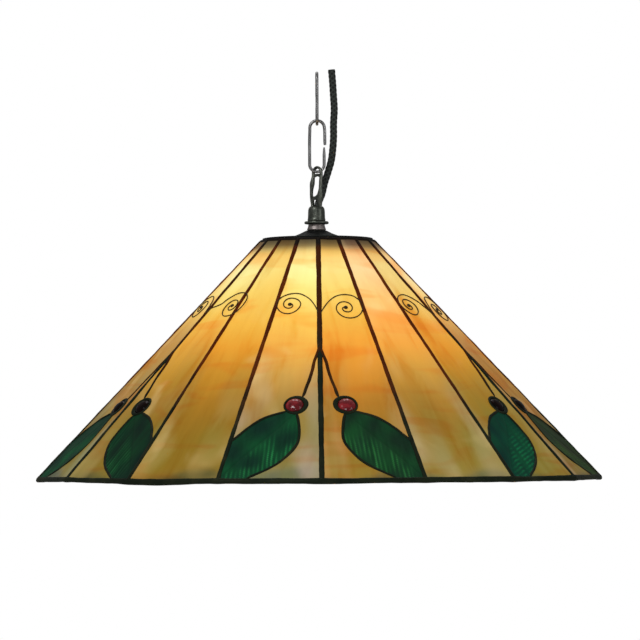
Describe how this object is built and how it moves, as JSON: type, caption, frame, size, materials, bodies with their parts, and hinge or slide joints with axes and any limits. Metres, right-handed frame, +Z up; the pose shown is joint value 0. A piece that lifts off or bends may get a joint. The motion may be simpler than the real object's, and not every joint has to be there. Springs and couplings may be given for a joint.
{
  "type": "leaded glass pendant lamp",
  "caption": "Hanging lamp with a wide many-sided cone shade of amber leaded glass with green leaves and red berries, hung by a loop cup on chain links, with a flex, lampholder and bulb inside.",
  "frame": {"origin": "on the lamp's axis, in the plane of the shade's bottom rim", "axes": "+Z up along the lamp's axis towards the chain; -Y is the front, through the middle seam of a pair of leaves"},
  "size_m": [0.5052, 0.513, 0.3748],
  "materials": {
    "amber_glass": "opalescent streaky sheet glass, lit from inside",
    "green_glass": "rippled dark green sheet glass",
    "red_glass": "domed pressed glass, polished",
    "dark_solder": "tin-lead solder with black patina, hand beaded",
    "dark_bronze": "dark bronze plating, satin",
    "nickel": "worn nickel plate",
    "steel_wire": "drawn wire, dull nickel plate",
    "black_flex": "round flex with twisted braid cover",
    "brass": "satin brass",
    "ceramic": "white glaze",
    "opal_bulb": "opal white, lit"
  },
  "bodies": {
    "top_link": {"chain_link_upper": "steel_wire", "flex_upper": "black_flex"},
    "hanging_link": {"chain_link_lower": "steel_wire", "flex_middle": "black_flex"},
    "lamp": {"amber_pane_1L": "amber_glass", "leaf_pane_1L": "green_glass", "berry_1L": "red_glass", "amber_pane_1R": "amber_glass", "leaf_pane_1R": "green_glass", "berry_1R": "red_glass", "plain_pane_1": "amber_glass", "amber_pane_2L": "amber_glass", "leaf_pane_2L": "green_glass", "berry_2L": "red_glass", "amber_pane_2R": "amber_glass", "leaf_pane_2R": "green_glass", "berry_2R": "red_glass", "plain_pane_2": "amber_glass", "amber_pane_3L": "amber_glass", "leaf_pane_3L": "green_glass", "berry_3L": "red_glass", "amber_pane_3R": "amber_glass", "leaf_pane_3R": "green_glass", "berry_3R": "red_glass", "plain_pane_3": "amber_glass", "amber_pane_4L": "amber_glass", "leaf_pane_4L": "green_glass", "berry_4L": "red_glass", "amber_pane_4R": "amber_glass", "leaf_pane_4R": "green_glass", "berry_4R": "red_glass", "plain_pane_4": "amber_glass", "amber_pane_5L": "amber_glass", "leaf_pane_5L": "green_glass", "berry_5L": "red_glass", "amber_pane_5R": "amber_glass", "leaf_pane_5R": "green_glass", "berry_5R": "red_glass", "plain_pane_5": "amber_glass", "amber_pane_6L": "amber_glass", "leaf_pane_6L": "green_glass", "berry_6L": "red_glass", "amber_pane_6R": "amber_glass", "leaf_pane_6R": "green_glass", "berry_6R": "red_glass", "plain_pane_6": "amber_glass", "solder_lattice": "dark_solder", "vase_cap": "dark_bronze", "neck_collar": "nickel", "flange_washer": "dark_bronze", "loop_cup": "dark_bronze", "flex_lower": "black_flex", "threaded_tube": "brass", "crossbar": "brass", "lock_nut": "brass", "lampholder_cap": "brass", "lampholder_shell": "brass", "lampholder_core": "ceramic"},
    "bulb": {"bulb_cap": "nickel", "bulb_glass": "opal_bulb"}
  },
  "joints": [
    {"name": "side_swing", "type": "hinge", "parent": "top_link", "child": "hanging_link", "pos_m": [0, 0, 0.32395], "axis": [0, 1, 0], "range_deg": [-40, 40]},
    {"name": "front_back_swing", "type": "hinge", "parent": "hanging_link", "child": "lamp", "pos_m": [0, 0, 0.2806], "axis": [1, 0, 0], "range_deg": [-40, 40]},
    {"name": "bulb_unscrew", "type": "slide", "parent": "lamp", "child": "bulb", "axis": [0, 0, -1], "range_m": [0, 0.03]}
  ]
}
